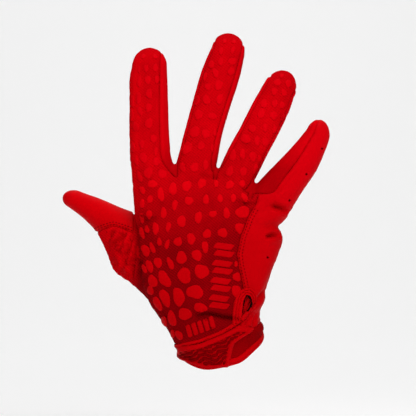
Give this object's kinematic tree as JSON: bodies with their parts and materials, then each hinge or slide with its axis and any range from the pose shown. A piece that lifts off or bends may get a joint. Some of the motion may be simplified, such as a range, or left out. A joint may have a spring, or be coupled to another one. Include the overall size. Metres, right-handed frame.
{
  "type": "football glove",
  "caption": "Right-hand receiver's glove for football: hollow hand, thumb and finger tubes with side strips, spot-printed back, smooth palm, elastic cuff with a vent and a fastening strap.",
  "frame": {"origin": "centre of the cuff's mouth, where the hand goes in", "axes": "+Z from the cuff towards the middle fingertip, -Y out of the back of the hand, +X towards the little finger's side"},
  "size_m": [0.1887, 0.0556, 0.2368],
  "materials": {
    "stretch_fabric": "ribbed red stretch knit, printed with raised smooth red grip spots",
    "smooth_fabric": "smooth red coated stretch fabric",
    "grip_skin": "smooth red synthetic leather with a slightly tacky coat",
    "elastic": "finely ribbed red elastic",
    "binding": "red folded binding tape",
    "moulding": "satin red moulded rubber"
  },
  "bodies": {
    "root": {"back_panel": "stretch_fabric", "side_panel": "smooth_fabric", "palm_panel": "grip_skin", "thumb_sleeve": "grip_skin", "fourchette_index_middle": "smooth_fabric", "fourchette_middle_ring": "smooth_fabric", "fourchette_ring_little": "smooth_fabric", "cuff_band": "elastic", "cuff_rim": "binding", "wrist_piping": "binding", "vent_binding": "binding", "strap_tab": "smooth_fabric", "tab_patch": "moulding"}
  },
  "joints": []
}
